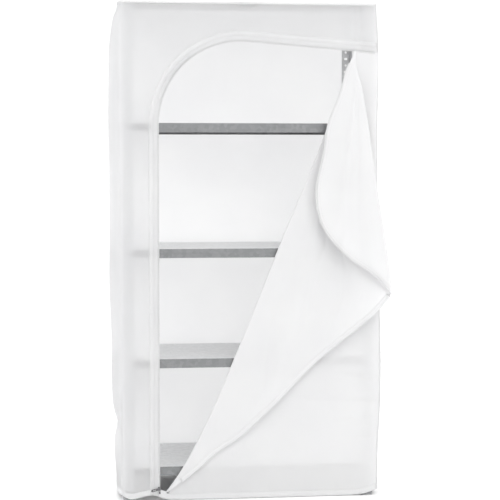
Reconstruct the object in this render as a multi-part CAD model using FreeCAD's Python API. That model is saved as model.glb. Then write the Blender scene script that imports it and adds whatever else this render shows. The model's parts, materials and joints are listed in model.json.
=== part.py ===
"""Covered garment and storage rack: a bolted slotted-angle shelving rack under a loose cloth cover
with an arched zip door. The door is unzipped and folded back in two folds.

Lengths are in millimetres. The rack is laid out about its own centre line, with the door facing -Y
and +Z up, and everything is then moved so that the origin is on the floor at the centre of the whole
footprint, the folded door included."""

import FreeCAD, Part
import math
import os

Vector = FreeCAD.Vector

# ---- the rack -------------------------------------------------------------------------------------
RACK_WIDTH = 900.0
RACK_DEPTH = 450.0
POST_TOP = 1774.0
POST_FLANGE = 35.0
POST_SHEET = 1.8
POST_FOOT_LIFT = 3.0          # the post stands on the floor of its plastic foot
HOLE_PITCH = 25.0
HOLE_FIRST = 35.4             # height of the lowest hole
HOLE_FROM_EDGE = 15.0         # hole column from the free edge of the flange
HOLE_DIAMETER = 9.0
SLOT_LENGTH = 14.0
FIT_GAP = 0.2

SHELF_TOPS = (120.0, 508.0, 902.0, 1349.0, POST_TOP)
SHELF_SHEET = 1.0
SHELF_LIP = 32.5
SHELF_RETURN = 13.0
PUNCH_PITCH = 18.0
PUNCH_LENGTH = 9.0
PUNCH_WIDTH = 4.5
LIP_SLOT_WIDTH = 7.0
LIP_SLOT_LENGTH = 20.0
RIB_WIDTH = 60.0
RIB_HEIGHT = 20.0
RIB_BRIM = 10.0

BOLT_DIAMETER = 6.0
BOLT_LENGTH = 14.0
BOLT_HEAD_ACROSS = 10.0
BOLT_HEAD_HEIGHT = 3.6
NUT_HEIGHT = 5.0
NUT_CLEARANCE = 0.1

FOOT_WALL = 1.6
FOOT_HEIGHT = 22.0

# ---- the cover ------------------------------------------------------------------------------------
COVER_WIDTH = 918.0
COVER_DEPTH = 468.0
COVER_TOP = 1776.0
CLOTH = 1.5
HEM_BOTTOM = 3.0
HEM_HEIGHT = 20.0
BINDING = 1.0
ROOF_BINDING_HEIGHT = 8.0

# ---- the door, drawn flat in the front of the cover -----------------------------------------------
OPENING_LEFT = -328.0
ARCH_RADIUS = 300.0
ARCH_SPRING = 1340.0          # height where the straight side turns into the arch
TOP_SLOPE = math.radians(4.5)  # the top edge falls towards the right
ZIP_GAP = 8.0                 # from the edge of the cover's cloth to the edge of the door's
TEETH_WIDTH = 2.8
TEETH_THICK = 2.4
TAPE_WIDTH = 14.0
TAPE_THICK = 0.6
FOLD_LOW = (-296.0, 30.0)     # the main fold runs from beside the foot of the zip ...
FOLD_HIGH_X = 394.0           # ... to here on the top edge
CORNER_FOLD_HEIGHT = 1098.0   # where the corner fold leaves the zip side
FOLD_GAP = 1.0                # each panel stops this far short of a fold
FOLD_AIR = 0.3                # clear space between the layers where they meet at a fold
DOOR_FOOT = 66.0              # the folding cloth starts above the slider's parking place
MAIN_FOLD_REST = 8.0          # degrees the folded door stands off the front
CORNER_FOLD_REST = 4.0        # degrees the folded corner stands off the door

# ---- the zip slider -------------------------------------------------------------------------------
SLIDER_HEIGHT = 14.0
SLIDER_FOOT = 36.0
SLIDER_PLATE = 2.0
SLIDER_AIR = 0.6
BRIDGE_WIDTH = 1.4
TAB_LENGTH = 30.0
TAB_WIDTH = 9.0
TAB_THICK = 1.6
TAB_DROOP = math.radians(14.0)  # the tab lies across the cover, this far below level
HINGE_PIN_RADIUS = 0.9
HINGE_CLEARANCE = 0.08
HINGE_STANDOFF = 2.0          # from the slider's front plate to the pin
EYE_WALL = 0.7
EAR_HALF = 1.6
EAR_THICK = 0.9
EAR_ROOT = 0.1                # how far an ear is let into the plate
STOP_LOW = 24.0
STOP_HEIGHT = 9.0
STOP_OVERLAP = 3.0            # how far the stop reaches over the cloth on the cover's side
STOP_THICK = 1.4

# ---- the frame ------------------------------------------------------------------------------------
FOOTPRINT_CENTRE = Vector(22.0, -35.0, 0.0)   # centre of the whole footprint, from the rack's centre

HALF_WIDTH = RACK_WIDTH / 2
HALF_DEPTH = RACK_DEPTH / 2
COVER_HALF_WIDTH = COVER_WIDTH / 2
COVER_FRONT = -COVER_DEPTH / 2
COVER_BACK = COVER_DEPTH / 2
ARCH_CENTRE_X = OPENING_LEFT + ARCH_RADIUS


def box(low, high):
    """A box between two corners."""
    size = [b - a for a, b in zip(low, high)]
    return Part.makeBox(*size, Vector(*low))


def wire_face(edges_or_points, holes=()):
    """A flat face inside a closed outline, less the holes."""
    outline = edges_or_points
    if isinstance(outline[0], Vector):
        outline = Part.makePolygon(list(outline) + [outline[0]]).Edges
    return Part.makeFace([Part.Wire(outline), *holes], "Part::FaceMakerBullseye")


def upright(points):
    """Vectors in the XZ plane from (x, z) pairs."""
    return [Vector(x, 0, z) for x, z in points]


def obround(centre, along, across, length, width):
    """The outline of a slot: two straight sides and two half circles, or a circle."""
    radius = width / 2
    if length <= width:
        return Part.Wire(Part.Circle(centre, along.cross(across), radius).toShape())
    half = (length - width) / 2
    corners = [centre + along * (sx * half) + across * (sy * radius) for sx, sy in
               ((-1, -1), (1, -1), (1, 1), (-1, 1))]
    right_tip = centre + along * (half + radius)
    left_tip = centre - along * (half + radius)
    return Part.Wire([
        Part.LineSegment(corners[0], corners[1]).toShape(),
        Part.Arc(corners[1], right_tip, corners[2]).toShape(),
        Part.LineSegment(corners[2], corners[3]).toShape(),
        Part.Arc(corners[3], left_tip, corners[0]).toShape()])


def mirrored(shape, in_x, in_y):
    """The shape in another corner of the rack."""
    if in_x:
        shape = shape.mirror(Vector(0, 0, 0), Vector(1, 0, 0))
    if in_y:
        shape = shape.mirror(Vector(0, 0, 0), Vector(0, 1, 0))
    return shape


def in_every_corner(shapes):
    """Copies of the front left corner's shapes in all four corners."""
    return [mirrored(shape, in_x, in_y) for in_x in (False, True) for in_y in (False, True)
            for shape in shapes]


# ---- rack parts, front left corner ----------------------------------------------------------------
def hole_heights():
    """Heights of a post's holes, lowest first."""
    count = int((POST_TOP - HOLE_FIRST - HOLE_DIAMETER) // HOLE_PITCH) + 1
    return [HOLE_FIRST + n * HOLE_PITCH for n in range(count)]


def flange(edge_at, along):
    """One punched strip of a post as a flat face: edge_at is its free edge, along points to the corner."""
    up = Vector(0, 0, 1)
    foot = edge_at + up * POST_FOOT_LIFT
    head = edge_at + up * POST_TOP
    outline = [foot, foot + along * POST_FLANGE, head + along * POST_FLANGE, head]
    holes = []
    for n, height in enumerate(hole_heights()):
        centre = edge_at + along * HOLE_FROM_EDGE + up * height
        length = SLOT_LENGTH if n % 2 else HOLE_DIAMETER
        holes.append(obround(centre, along, up, length, HOLE_DIAMETER))
    return wire_face(outline, holes)


def post():
    """A slotted angle: two punched flanges that meet at the rack's corner."""
    front = flange(Vector(POST_FLANGE - HALF_WIDTH, -HALF_DEPTH, 0), Vector(-1, 0, 0))
    side = flange(Vector(-HALF_WIDTH, POST_FLANGE - HALF_DEPTH, 0), Vector(0, -1, 0))
    front = front.extrude(Vector(0, POST_SHEET, 0))
    side = side.extrude(Vector(POST_SHEET, 0, 0))
    return front.fuse(side).removeSplitter()


def angle_section(grow_out, grow_in, low, high):
    """The post's L section, thickened by grow_out outside and grow_in inside."""
    x, y = -HALF_WIDTH, -HALF_DEPTH
    reach = POST_FLANGE + grow_out
    outer = box((x - grow_out, y - grow_out, low), (x + reach, y + reach, high))
    inner_from = POST_SHEET + grow_in
    return outer.cut(box((x + inner_from, y + inner_from, low), (x + reach, y + reach, high)))


def foot():
    """A plastic shoe under a post: an L with a floor and a pocket that the post stands in."""
    body = angle_section(FOOT_WALL, FOOT_WALL, 0.0, FOOT_HEIGHT)
    pocket = angle_section(FIT_GAP, FIT_GAP, POST_FOOT_LIFT, FOOT_HEIGHT)
    return body.cut(pocket)


def shelf(top):
    """A folded steel tray, open below: a plate, four lips and a punched return at the foot of each lip."""
    x = HALF_WIDTH - POST_SHEET - FIT_GAP
    y = HALF_DEPTH - POST_SHEET - FIT_GAP
    low = top - SHELF_LIP
    tray = box((-x, -y, low), (x, y, top))
    inside = box((SHELF_SHEET - x, SHELF_SHEET - y, low + SHELF_SHEET),
                 (x - SHELF_SHEET, y - SHELF_SHEET, top - SHELF_SHEET))
    mouth = box((SHELF_RETURN - x, SHELF_RETURN - y, low),
                (x - SHELF_RETURN, y - SHELF_RETURN, top - SHELF_SHEET))
    tray = tray.cut(inside.fuse(mouth))
    cutters = punches(x, y, low) + lip_slots(low)
    return tray.cut(Part.makeCompound(cutters))


def punches(x, y, low):
    """Cutters for the row of slots in the front and rear returns."""
    count = int((2 * x - 4 * SHELF_RETURN) // PUNCH_PITCH)
    first = -(count - 1) * PUNCH_PITCH / 2
    cutters = []
    for side in (-1, 1):
        for n in range(count):
            centre = Vector(first + n * PUNCH_PITCH, side * (y - SHELF_RETURN / 2), low)
            slot = obround(centre, Vector(1, 0, 0), Vector(0, 1, 0), PUNCH_LENGTH, PUNCH_WIDTH)
            cutters.append(Part.Face(slot).extrude(Vector(0, 0, SHELF_SHEET)))
    return cutters


def lip_slots(low):
    """Cutters for the upright slots that let a shelf hang between two holes of the post."""
    middle = low + SHELF_LIP / 2
    up = Vector(0, 0, 1)
    front = Vector(POST_FLANGE - HOLE_FROM_EDGE - HALF_WIDTH, -HALF_DEPTH, middle)
    side = Vector(-HALF_WIDTH, POST_FLANGE - HOLE_FROM_EDGE - HALF_DEPTH, middle)
    depth = POST_SHEET + FIT_GAP + SHELF_SHEET
    corner = []
    for centre, across, inward in ((front, Vector(1, 0, 0), Vector(0, 1, 0)),
                                   (side, Vector(0, 1, 0), Vector(1, 0, 0))):
        slot = Part.Face(obround(centre, up, across, LIP_SLOT_LENGTH, LIP_SLOT_WIDTH))
        corner.append(slot.extrude(inward * depth))
    return in_every_corner(corner)


def rib(top):
    """A hat-section stiffener under a shelf, its two brims against the plate."""
    x = HALF_WIDTH - POST_SHEET - 2 * FIT_GAP - SHELF_SHEET
    x -= SHELF_RETURN
    under = top - SHELF_SHEET - FIT_GAP / 2
    half = RIB_WIDTH / 2
    sheet = SHELF_SHEET
    channel = box((-x, -half, under - RIB_HEIGHT), (x, half, under))
    channel = channel.cut(box((-x, sheet - half, sheet + under - RIB_HEIGHT), (x, half - sheet, under)))
    brims = [box((-x, -half - RIB_BRIM, under - sheet), (x, -half, under)),
             box((-x, half, under - sheet), (x, half + RIB_BRIM, under))]
    return channel.fuse(brims).removeSplitter()


def bolt_height(top):
    """The post hole nearest the middle of a shelf's lip."""
    middle = top - SHELF_LIP / 2
    return min(hole_heights(), key=lambda height: abs(height - middle))


def hexagon(centre, along, across, across_flats, height):
    """A hexagonal prism that starts at centre and runs along."""
    other = along.cross(across)
    radius = across_flats / math.sqrt(3)
    corners = []
    for n in range(6):
        angle = n * math.pi / 3
        corners.append(centre + across * (radius * math.cos(angle)) + other * (radius * math.sin(angle)))
    return wire_face(corners).extrude(along * height)


def bolt_and_nut(seat, inward):
    """A bolt whose head bears on the post at seat, and the nut behind the shelf's lip."""
    up = Vector(0, 0, 1)
    head = hexagon(seat, inward * -1, up, BOLT_HEAD_ACROSS, BOLT_HEAD_HEIGHT)
    shank = Part.makeCylinder(BOLT_DIAMETER / 2, BOLT_LENGTH, seat, inward)
    bolt = head.fuse(shank).removeSplitter()
    behind = seat + inward * (POST_SHEET + FIT_GAP + SHELF_SHEET)
    nut = hexagon(behind, inward, up, BOLT_HEAD_ACROSS, NUT_HEIGHT)
    bore = Part.makeCylinder(BOLT_DIAMETER / 2 + NUT_CLEARANCE, NUT_HEIGHT, behind, inward)
    return bolt, nut.cut(bore)


def fasteners(top):
    """The eight bolts and eight nuts that hold one shelf to the posts."""
    height = bolt_height(top)
    from_corner = POST_FLANGE - HOLE_FROM_EDGE
    front = bolt_and_nut(Vector(from_corner - HALF_WIDTH, -HALF_DEPTH, height), Vector(0, 1, 0))
    side = bolt_and_nut(Vector(-HALF_WIDTH, from_corner - HALF_DEPTH, height), Vector(1, 0, 0))
    bolts = in_every_corner([front[0], side[0]])
    nuts = in_every_corner([front[1], side[1]])
    return bolts, nuts


# ---- the front of the cover and its door, drawn flat ----------------------------------------------
def opening_outline(inset):
    """The door opening as edges, moved inwards by inset: zip side, arch, sloping top, seam side, foot."""
    radius = ARCH_RADIUS - inset
    centre = Vector(ARCH_CENTRE_X, 0, ARCH_SPRING)

    def on_arch(angle):
        return centre + Vector(radius * math.sin(angle), 0, radius * math.cos(angle))

    spring = on_arch(-math.pi / 2)
    crown = on_arch(TOP_SLOPE)
    shoulder = on_arch((TOP_SLOPE - math.pi / 2) / 2)
    end_x = COVER_HALF_WIDTH
    end = Vector(end_x, 0, crown.z - (end_x - crown.x) * math.tan(TOP_SLOPE))
    foot_right = Vector(end_x, 0, HEM_BOTTOM)
    foot_left = Vector(spring.x, 0, HEM_BOTTOM)
    return [Part.LineSegment(foot_left, spring).toShape(),
            Part.Arc(spring, shoulder, crown).toShape(),
            Part.LineSegment(crown, end).toShape(),
            Part.LineSegment(end, foot_right).toShape(),
            Part.LineSegment(foot_right, foot_left).toShape()]


def opening(inset):
    return wire_face(opening_outline(inset))


def top_edge_height(x):
    """Height of the opening's sloping top edge at x."""
    crown_x = ARCH_CENTRE_X + ARCH_RADIUS * math.sin(TOP_SLOPE)
    crown_z = ARCH_SPRING + ARCH_RADIUS * math.cos(TOP_SLOPE)
    return crown_z - (x - crown_x) * math.tan(TOP_SLOPE)


MAIN_FOLD = upright([FOLD_LOW, (FOLD_HIGH_X, top_edge_height(FOLD_HIGH_X))])
CORNER_FOLD = [MAIN_FOLD[1], Vector(OPENING_LEFT, 0, CORNER_FOLD_HEIGHT)]


def beyond(line, side, gap):
    """Everything on one side of a fold line, from gap away: +1 is to the left of the line's direction."""
    along = (line[1] - line[0]).normalize()
    away = along.cross(Vector(0, 1, 0)) * side
    reach = 2 * COVER_TOP
    near = [line[0] - along * reach + away * gap, line[1] + along * reach + away * gap]
    return wire_face(near + [near[1] + away * reach, near[0] + away * reach])


def band(outer_inset, inner_inset):
    """A strip along the opening's edge, between two insets."""
    return opening(outer_inset).cut(opening(inner_inset))


def above(height):
    """The front of the cover above a height."""
    wide = COVER_WIDTH
    high = 2 * COVER_TOP
    return wire_face(upright([(-wide, height), (wide, height), (wide, high), (-wide, high)]))


def sheet_at(face, front, thickness):
    """A flat face of the front, as a panel whose outer side is at y = front."""
    solid = face.extrude(Vector(0, thickness, 0))
    solid.translate(Vector(0, front, 0))
    return solid.Solids[0] if len(solid.Solids) == 1 else Part.makeCompound(solid.Solids)


LEFT_OF_MAIN = beyond(MAIN_FOLD, 1, FOLD_GAP)
RIGHT_OF_MAIN = beyond(MAIN_FOLD, -1, FOLD_GAP)
BELOW_CORNER = beyond(CORNER_FOLD, 1, FOLD_GAP)
ABOVE_CORNER = beyond(CORNER_FOLD, -1, FOLD_GAP)
TAPE_FRONT = COVER_FRONT + CLOTH
TEETH_FRONT = TAPE_FRONT - TEETH_THICK
MAIN_FOLD_Y = TEETH_FRONT - FOLD_AIR            # the door folds forwards, clear of its own teeth
CORNER_FOLD_Y = TAPE_FRONT + TAPE_THICK + FOLD_AIR   # the corner folds over the door's inner side


def front_panel():
    """The left leg and the top band of the front, in one piece."""
    high = COVER_TOP - CLOTH
    x = COVER_HALF_WIDTH
    whole = wire_face(upright([(-x, HEM_BOTTOM), (x, HEM_BOTTOM), (x, high), (-x, high)]))
    return sheet_at(whole.cut(opening(0)), COVER_FRONT, CLOTH)


def fixed_door_panel():
    """The part of the door that stays in the plane of the front: right of the main fold, and the sill."""
    seamed_edge = band(0, ZIP_GAP).common(RIGHT_OF_MAIN).common(above(ARCH_SPRING))
    folding = beyond(MAIN_FOLD, 1, -FOLD_GAP).common(above(STOP_LOW + STOP_HEIGHT))
    panel = opening(ZIP_GAP).cut(folding).fuse(seamed_edge).removeSplitter()
    return sheet_at(panel, COVER_FRONT, CLOTH)


def cover_zip():
    """The zip half on the cover: a tape behind the edge and a row of teeth in front of it."""
    tape = sheet_at(band(-TAPE_WIDTH, 0).common(LEFT_OF_MAIN), TAPE_FRONT, TAPE_THICK)
    row = band(0, TEETH_WIDTH).common(LEFT_OF_MAIN).common(above(STOP_LOW + STOP_HEIGHT))
    return tape, sheet_at(row, TEETH_FRONT, TEETH_THICK)


def door_pieces(region):
    """Cloth, tape and teeth of one folding piece of the door, drawn flat and closed."""
    region = region.common(above(DOOR_FOOT))
    cloth = sheet_at(opening(ZIP_GAP).common(region), COVER_FRONT, CLOTH)
    tape = sheet_at(band(ZIP_GAP, ZIP_GAP + TAPE_WIDTH).common(region), TAPE_FRONT, TAPE_THICK)
    teeth = sheet_at(band(ZIP_GAP - TEETH_WIDTH, ZIP_GAP).common(region), TEETH_FRONT, TEETH_THICK)
    return [cloth, tape, teeth]


def folded(shapes, line, depth, degrees):
    """The shapes turned about a fold line that lies at y = depth."""
    at = Vector(line[0].x, depth, line[0].z)
    turned = []
    for shape in shapes:
        shape = shape.copy()
        shape.rotate(at, line[1] - line[0], degrees)
        turned.append(shape)
    return turned


def door():
    """The two folding pieces of the door, folded back as they rest."""
    main = door_pieces(LEFT_OF_MAIN.common(BELOW_CORNER))
    corner = door_pieces(LEFT_OF_MAIN.common(ABOVE_CORNER))
    corner = folded(corner, CORNER_FOLD, CORNER_FOLD_Y, 180 - CORNER_FOLD_REST)
    turn = 180 - MAIN_FOLD_REST
    return folded(main, MAIN_FOLD, MAIN_FOLD_Y, turn), folded(corner, MAIN_FOLD, MAIN_FOLD_Y, turn)


# ---- the rest of the cover ------------------------------------------------------------------------
def cover_shell():
    """Roof, back and the two sides, seamed edge to edge."""
    x = COVER_HALF_WIDTH
    high = COVER_TOP - CLOTH
    return {
        "cover_roof": box((-x, COVER_FRONT, high), (x, COVER_BACK, COVER_TOP)),
        "cover_back": box((-x, COVER_BACK - CLOTH, HEM_BOTTOM), (x, COVER_BACK, high)),
        "cover_left_side": box((-x, TAPE_FRONT, HEM_BOTTOM), (CLOTH - x, COVER_BACK - CLOTH, high)),
        "cover_right_side": box((x - CLOTH, TAPE_FRONT, HEM_BOTTOM), (x, COVER_BACK - CLOTH, high)),
    }


def binding(low, high):
    """A tape sewn round the outside of the cover between two heights."""
    x = COVER_HALF_WIDTH
    outer = box((-x - BINDING, COVER_FRONT - BINDING, low), (x + BINDING, COVER_BACK + BINDING, high))
    return outer.cut(box((-x, COVER_FRONT, low), (x, COVER_BACK, high)))


# ---- the slider and its tab -----------------------------------------------------------------------
def slider():
    """Two plates joined by a bridge between the rows of teeth, with two ears and a pin for the tab."""
    low, high = SLIDER_FOOT, SLIDER_FOOT + SLIDER_HEIGHT
    left = OPENING_LEFT - 1.0
    right = OPENING_LEFT + ZIP_GAP - 0.4
    front_face = TEETH_FRONT - SLIDER_AIR
    back_face = TAPE_FRONT + TAPE_THICK + SLIDER_AIR
    bridge_x = OPENING_LEFT + ZIP_GAP / 2
    half = BRIDGE_WIDTH / 2
    body = box((left, front_face - SLIDER_PLATE, low), (right, front_face, high))
    body = body.fuse([
        box((left, back_face, low), (right, back_face + SLIDER_PLATE, high)),
        box((bridge_x - half, front_face, low), (bridge_x + half, back_face, high))])
    centre, along, across = tab_hinge()
    reach = TAB_WIDTH / 2 + EAR_THICK
    pin = Part.makeCylinder(HINGE_PIN_RADIUS, 2 * reach, centre - across * reach, across)
    ears = [ear(centre + across * (side * reach), along, across * -side) for side in (-1, 1)]
    return body.fuse([pin, *ears]).removeSplitter()


def tab_hinge():
    """Centre of the tab's hinge, the direction its tab lies in, and the direction of its pin."""
    centre = Vector(OPENING_LEFT + ZIP_GAP / 2, TEETH_FRONT - SLIDER_AIR - SLIDER_PLATE - HINGE_STANDOFF,
                    SLIDER_FOOT + SLIDER_HEIGHT / 2)
    along = Vector(-math.cos(TAB_DROOP), 0, -math.sin(TAB_DROOP))
    across = Vector(-along.z, 0, along.x)
    return centre, along, across


def ear(outer, along, inward):
    """An ear that stands on the slider's front plate and holds one end of the pin."""
    depth = Vector(0, 1, 0)
    near = outer - depth * EAR_HALF
    width = along * EAR_HALF
    thick = inward * EAR_THICK
    block = wire_face([near - width, near + width, near + width + thick, near - width + thick])
    return block.extrude(depth * (EAR_HALF + HINGE_STANDOFF + EAR_ROOT))


def pull_tab():
    """A flat tab with a round eye over the slider's pin and a slot in its tail."""
    centre, along, across = tab_hinge()
    depth = Vector(0, 1, 0)
    thick = depth * TAB_THICK
    eye_radius = HINGE_PIN_RADIUS + EYE_WALL
    front = centre - thick * 0.5
    half = TAB_WIDTH / 2 - FIT_GAP
    tail = front + along * (TAB_LENGTH - half)
    outline = [front + across * half, tail + across * half, tail - across * half, front - across * half]
    arc = Part.Arc(outline[1], tail + along * half, outline[2]).toShape()
    edges = [Part.LineSegment(outline[0], outline[1]).toShape(), arc,
             Part.LineSegment(outline[2], outline[3]).toShape(),
             Part.LineSegment(outline[3], outline[0]).toShape()]
    slot = obround(front + along * (TAB_LENGTH * 0.6), along, across, TAB_LENGTH * 0.4, TAB_WIDTH * 0.4)
    blade = wire_face(edges, [slot]).extrude(thick)
    barrel = Part.makeCylinder(eye_radius, 2 * half, centre - across * half, across)
    bore = Part.makeCylinder(HINGE_PIN_RADIUS + HINGE_CLEARANCE, 4 * half, centre - across * 2 * half, across)
    return blade.fuse(barrel).cut(bore)


def zip_stop():
    """The clip at the foot of the zip, across the end of the gap."""
    back = COVER_FRONT - FIT_GAP
    return box((OPENING_LEFT - STOP_OVERLAP, back - STOP_THICK, STOP_LOW),
               (OPENING_LEFT + ZIP_GAP, back, STOP_LOW + STOP_HEIGHT))


def fold_axes():
    """Both fold axes as they rest, each as two points in the finished frame, and the tab's pin."""
    low, high = (Vector(point.x, MAIN_FOLD_Y, point.z) for point in MAIN_FOLD)
    turn = FreeCAD.Rotation(high - low, 180 - MAIN_FOLD_REST)
    ends = [Vector(point.x, CORNER_FOLD_Y, point.z) for point in CORNER_FOLD]
    corner = [low + turn.multVec(end - low) for end in ends]
    pin_centre, _, pin = tab_hinge()
    axes = {"main fold": (low, high), "corner fold": corner, "tab pin": (pin_centre, pin_centre + pin * 10)}
    return {name: [point - FOOTPRINT_CENTRE for point in points] for name, points in axes.items()}


def save(name, shapes):
    """Writes one node, moved so that the origin is the centre of the whole footprint."""
    shapes = shapes if isinstance(shapes, list) else [shapes]
    shape = shapes[0] if len(shapes) == 1 else Part.makeCompound(shapes)
    shape.translate(FOOTPRINT_CENTRE * -1)
    shape.exportStep(f"parts/{name}.step")
    for solid in shape.Solids:
        if not solid.isValid():
            print("not valid:", name)
    return shape


def corner_names():
    """The four corners' names, with whether each is mirrored in x and in y."""
    return [(f"{'back' if in_y else 'front'}_{'right' if in_x else 'left'}", in_x, in_y)
            for in_x in (False, True) for in_y in (False, True)]


def build():
    """Every node, by name."""
    nodes = {}
    one_post = post()
    one_foot = foot()
    for corner, in_x, in_y in corner_names():
        nodes[f"post_{corner}"] = mirrored(one_post, in_x, in_y)
        nodes[f"foot_{corner}"] = mirrored(one_foot, in_x, in_y)
    for number, top in enumerate(SHELF_TOPS, start=1):
        bolts, nuts = fasteners(top)
        nodes[f"shelf_{number}"] = shelf(top)
        nodes[f"shelf_rib_{number}"] = rib(top)
        nodes[f"shelf_bolts_{number}"] = bolts
        nodes[f"shelf_nuts_{number}"] = nuts
    nodes.update(cover_shell())
    nodes["cover_front"] = front_panel()
    nodes["door_fixed_panel"] = fixed_door_panel()
    nodes["roof_binding"] = binding(COVER_TOP - ROOF_BINDING_HEIGHT, COVER_TOP)
    nodes["hem_binding"] = binding(HEM_BOTTOM, HEM_BOTTOM + HEM_HEIGHT)
    nodes["zip_tape_cover"], nodes["zip_teeth_cover"] = cover_zip()
    nodes["zip_stop"] = zip_stop()
    main, corner = door()
    nodes["door_fold"], nodes["zip_tape_door"], nodes["zip_teeth_door"] = main
    nodes["door_corner"], nodes["zip_tape_corner"], nodes["zip_teeth_corner"] = corner
    nodes["zip_slider"] = slider()
    nodes["pull_tab"] = pull_tab()
    return nodes


def main():
    os.makedirs("parts", exist_ok=True)
    saved = [save(name, shapes) for name, shapes in build().items()]
    bounds = Part.makeCompound(saved).BoundBox
    print("bounds", [round(v, 1) for v in (bounds.XMin, bounds.XMax, bounds.YMin, bounds.YMax,
                                           bounds.ZMin, bounds.ZMax)])
    for name, line in fold_axes().items():
        print(name, [tuple(round(v, 3) for v in point) for point in line])


main()
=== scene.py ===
import bpy
import json
import math
import numpy as np
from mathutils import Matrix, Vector


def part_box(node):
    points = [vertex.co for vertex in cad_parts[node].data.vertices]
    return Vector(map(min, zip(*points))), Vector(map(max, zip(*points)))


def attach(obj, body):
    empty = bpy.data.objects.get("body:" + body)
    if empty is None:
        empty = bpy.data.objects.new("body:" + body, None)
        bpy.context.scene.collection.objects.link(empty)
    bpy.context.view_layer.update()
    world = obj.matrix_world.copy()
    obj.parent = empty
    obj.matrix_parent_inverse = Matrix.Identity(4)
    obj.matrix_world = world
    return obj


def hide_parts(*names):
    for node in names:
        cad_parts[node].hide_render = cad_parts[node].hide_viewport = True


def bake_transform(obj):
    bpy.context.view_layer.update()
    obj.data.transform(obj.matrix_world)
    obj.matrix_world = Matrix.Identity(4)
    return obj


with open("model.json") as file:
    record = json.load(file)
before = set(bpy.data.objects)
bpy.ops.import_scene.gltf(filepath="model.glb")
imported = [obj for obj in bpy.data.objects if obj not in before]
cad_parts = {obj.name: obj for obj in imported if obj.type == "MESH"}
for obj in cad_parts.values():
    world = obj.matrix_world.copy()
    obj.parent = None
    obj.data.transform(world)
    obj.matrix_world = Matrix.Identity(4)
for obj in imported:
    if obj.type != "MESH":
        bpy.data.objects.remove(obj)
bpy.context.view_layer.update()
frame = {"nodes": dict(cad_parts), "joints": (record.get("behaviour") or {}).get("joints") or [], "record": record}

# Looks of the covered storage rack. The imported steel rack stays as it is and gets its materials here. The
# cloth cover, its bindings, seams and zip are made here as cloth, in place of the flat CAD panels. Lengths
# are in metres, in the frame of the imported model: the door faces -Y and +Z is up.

# ---- where the CAD puts things --------------------------------------------------------------------
JOINTS = {joint["name"]: joint for joint in frame["joints"]}
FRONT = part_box("cover_front")[0].y
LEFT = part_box("cover_left_side")[0].x
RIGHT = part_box("cover_right_side")[1].x
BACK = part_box("cover_back")[1].y
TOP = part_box("cover_roof")[1].z
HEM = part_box("cover_back")[0].z
MAIN_FOOT = Vector(JOINTS["door_swing"]["pos_m"])
MAIN_ALONG = Vector(JOINTS["door_swing"]["axis"]).normalized()
MAIN_ALONG *= math.copysign(1, MAIN_ALONG.z)
APEX = Vector(JOINTS["corner_unfold"]["pos_m"])         # where both folds of the door meet
CORNER_DOWN = Vector(JOINTS["corner_unfold"]["axis"]).normalized()
CORNER_DOWN *= -math.copysign(1, CORNER_DOWN.z)

# ---- the cloth ------------------------------------------------------------------------------------
CLOTH = 0.0011                # thickness of the cloth as shown
THIN = 0.0006                 # thickness of the turned edges and bindings
SEAM_IN = 0.005               # how far the upright seams are drawn in from the flat sides
SEAM_SOFT = 0.010             # how soon the cloth is back out beside a seam
HEM_BAND = 0.020
ROOF_BAND = 0.008
PLACKET = 0.034               # the turned edge round the door opening
STITCH_LENGTH = 0.0026
STITCH_RADIUS = 0.00032
STITCH_PITCH = 0.0042

# ---- the door opening and its zip -----------------------------------------------------------------
OPENING_EDGE = LEFT + 0.131
ARCH_RADIUS = 0.300
ARCH_CENTRE = OPENING_EDGE + ARCH_RADIUS
ARCH_SPRING = 1.340           # height where the straight side turns into the arch
TOP_SLOPE = math.radians(4.5)
TAPE = 0.014
TAPE_THICK = 0.0005
TOOTH_PITCH = 0.0030
TOOTH_REACH = 0.0038
TOOTH_HALF_WIDTH = 0.00085
TOOTH_HALF_HEIGHT = 0.0010
ZIP_FOOT = 0.034

# ---- the folded door: what its drape adds to the two straight folds ---------------------------------
MAIN_TILT = math.radians(8)   # the folded door stands off the front
CORNER_TILT = math.radians(4)
MAIN_ROUND = 0.0030           # radius of the rounded main fold
CORNER_ROUND = 0.0050
CORNER_LENGTH = 0.878
PROUD_LIMIT = 0.0018          # the front stands no further out, because the folded door lies on it
LEAF_LIMIT = 0.002            # the folded door's drape adds no more, to clear the shelves when closed
TIP = APEX + CORNER_DOWN * CORNER_LENGTH
# (height, how far the main fold lies to the right of a straight line)
MAIN_BOW = ((0.030, -0.004), (0.10, 0.014), (0.23, 0.030), (0.56, 0.031), (0.93, 0.018), (1.25, 0.011),
            (1.42, 0.000), (1.52, -0.011), (1.61, -0.012))
# (height, how far the corner fold lies to the right of a straight line)
CORNER_BOW = ((0.73, 0.002), (0.90, 0.004), (1.10, 0.000), (1.33, -0.003), (1.47, -0.008), (1.57, -0.018),
              (1.61, -0.012))
# (height, how far the door's lower edge lies to the right of a straight line from its foot to its tip)
EDGE_BOW = ((0.030, 0.000), (0.12, 0.014), (0.17, 0.012), (0.225, 0.034), (0.30, 0.030), (0.39, 0.022),
            (0.485, 0.008), (0.60, 0.012), (0.68, 0.016), (0.74, 0.000))
# (height, width of the folded-over corner there)
CORNER_WIDTH = ((0.735, 0.000), (0.756, 0.014), (0.812, 0.060), (0.872, 0.139), (0.950, 0.203),
                (0.990, 0.221), (1.060, 0.227), (1.118, 0.220), (1.245, 0.176), (1.342, 0.146),
                (1.450, 0.086), (1.521, 0.047), (1.590, 0.010), (1.61, 0.004))
# (x as a share of the front's width from the left, height of the hem above its lowest)
HEM_WAVE = ((0.0, 0.017), (0.03, 0.005), (0.075, 0.012), (0.118, 0.018), (0.17, 0.003), (0.30, 0.000),
            (0.62, 0.000), (0.85, 0.000), (0.95, 0.006), (1.0, 0.021))
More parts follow.
